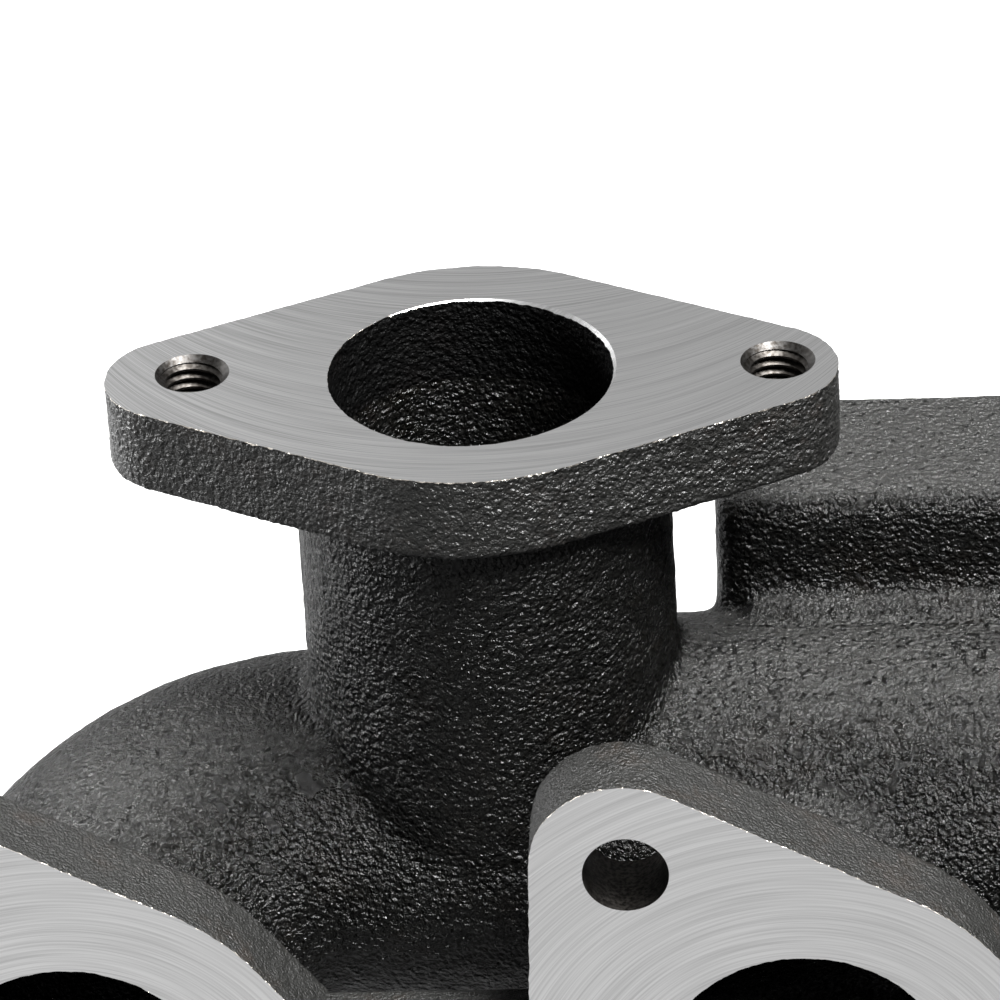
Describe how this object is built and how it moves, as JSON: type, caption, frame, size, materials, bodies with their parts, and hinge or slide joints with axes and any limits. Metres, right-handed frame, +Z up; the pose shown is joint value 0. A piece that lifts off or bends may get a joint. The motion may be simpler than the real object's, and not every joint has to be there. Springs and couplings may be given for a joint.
{
  "type": "exhaust manifold",
  "caption": "Cast-iron log exhaust manifold with bolted port flanges, curved runners, a turbocharger flange at the back and a wastegate branch on top.",
  "frame": {"origin": "on the machined head face, midway between ports 2 and 3, at the height of the port centres", "axes": "+X along the row of ports towards port 4, +Y away from the cylinder head, +Z up, the way the wastegate face looks"},
  "size_m": [0.3372, 0.0759, 0.1205],
  "materials": {
    "cast_iron": "as cast in sand, near black, satin with a grainy orange-peel skin",
    "machined_iron": "face-milled with fine curved cutter marks; the flange's edges and bore stay as cast"
  },
  "bodies": {
    "root": {"port_flange_1": "machined_iron", "port_flange_2": "machined_iron", "port_flange_3": "machined_iron", "port_flange_4": "machined_iron", "web_1_2": "cast_iron", "web_2_3": "cast_iron", "web_3_4": "cast_iron", "elbow_1": "cast_iron", "runner_2": "cast_iron", "runner_3": "cast_iron", "elbow_4": "cast_iron", "log_left": "cast_iron", "collector": "cast_iron", "log_right": "cast_iron", "wastegate_neck": "cast_iron", "wastegate_flange": "machined_iron", "turbo_flange": "machined_iron"}
  },
  "joints": []
}
